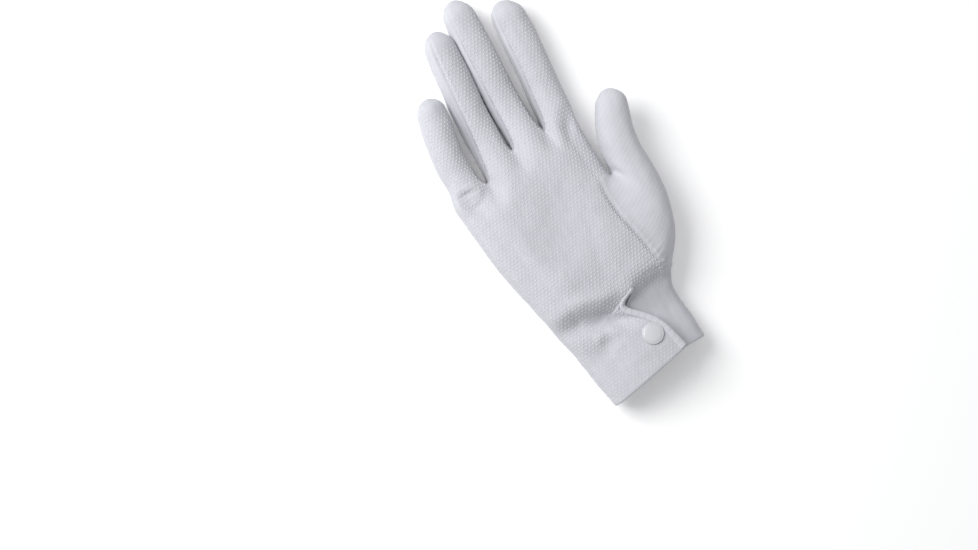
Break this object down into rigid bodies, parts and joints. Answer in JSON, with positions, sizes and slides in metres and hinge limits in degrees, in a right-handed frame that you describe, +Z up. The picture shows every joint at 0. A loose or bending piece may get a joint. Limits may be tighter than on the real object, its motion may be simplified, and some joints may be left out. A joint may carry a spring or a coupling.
{
  "type": "white parade glove",
  "caption": "Right-hand white dress glove of knitted cotton with a dotted grip palm, raised seams on the back, and a snapped wrist vent, lying palm up.",
  "frame": {"origin": "centre of the glove's outline where it lies, on the surface under its back", "axes": "+Y from the cuff towards the fingertips, +X towards the thumb, +Z up out of the palm"},
  "size_m": [0.1208, 0.249, 0.033],
  "materials": {
    "dotted_knit": "fine white cotton knit with rows of small raised grip dots",
    "plain_knit": "fine white cotton knit",
    "binding": "rolled white cotton edge",
    "snap": "smooth white, slightly glossy"
  },
  "bodies": {
    "root": {"palm": "dotted_knit", "back": "plain_knit", "thumb": "plain_knit", "fourchette_ring_little": "plain_knit", "fourchette_middle_ring": "plain_knit", "fourchette_index_middle": "plain_knit", "cuff_hem": "plain_knit", "vent_binding": "binding", "snap_cap": "snap", "snap_socket": "snap", "snap_stud": "snap", "point_1": "plain_knit", "point_2": "plain_knit", "point_3": "plain_knit"}
  },
  "joints": []
}
